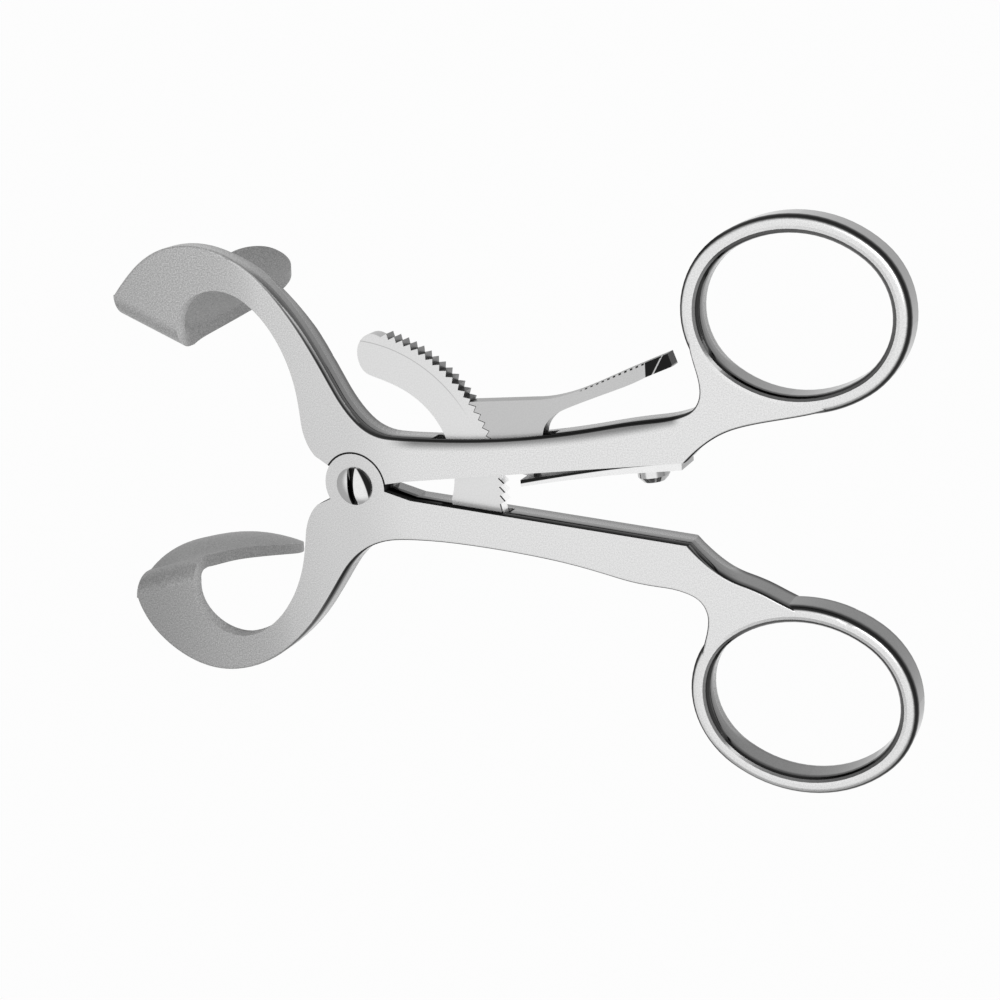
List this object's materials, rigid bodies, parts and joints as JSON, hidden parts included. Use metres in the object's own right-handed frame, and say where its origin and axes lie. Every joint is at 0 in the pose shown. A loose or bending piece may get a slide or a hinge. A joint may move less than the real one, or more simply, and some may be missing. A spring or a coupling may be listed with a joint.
{
  "type": "mouth gag",
  "caption": "Ring-handled surgical mouth gag: two crossed arms with bent tooth plates on C-shaped jaws, spread by the handles and locked by a curved ratchet bar with a sprung thumb pawl.",
  "frame": {"origin": "on the pivot axis, in the plane of the arms' front face", "axes": "+Z along the pivot axis toward the screw head, +X toward the finger rings, +Y toward the arm that carries the pawl; the tooth plates point to -Z"},
  "size_m": [0.1144, 0.0734, 0.0308],
  "materials": {
    "polished_steel": "polished stainless steel, satin on the jaws and front faces",
    "ratchet_steel": "satin stainless steel",
    "spring_steel": "ground spring steel",
    "screw_steel": "polished stainless steel"
  },
  "bodies": {
    "lower_half": {"lower_arm": "polished_steel", "ratchet_bar": "ratchet_steel", "bar_rivet_near": "ratchet_steel", "bar_rivet_far": "ratchet_steel"},
    "upper_half": {"upper_arm": "polished_steel", "pivot_screw": "screw_steel", "pawl_pin": "screw_steel", "leaf_spring": "spring_steel", "spring_screw": "screw_steel"},
    "pawl": {"pawl_lever": "ratchet_steel"}
  },
  "joints": [
    {"name": "arm_pivot", "type": "hinge", "parent": "lower_half", "child": "upper_half", "pos_m": [0, 0, -0.00235], "axis": [0, 0, 1], "range_deg": [-6.4, 51.2]},
    {"name": "pawl_hinge", "type": "hinge", "parent": "upper_half", "child": "pawl", "pos_m": [0.0234, 0.00515, -0.00235], "axis": [0, 0, -1], "range_deg": [0, 10], "stiffness_Nm_per_rad": 0.06, "springref_deg": -11.46, "deforming": ["leaf_spring"]}
  ]
}
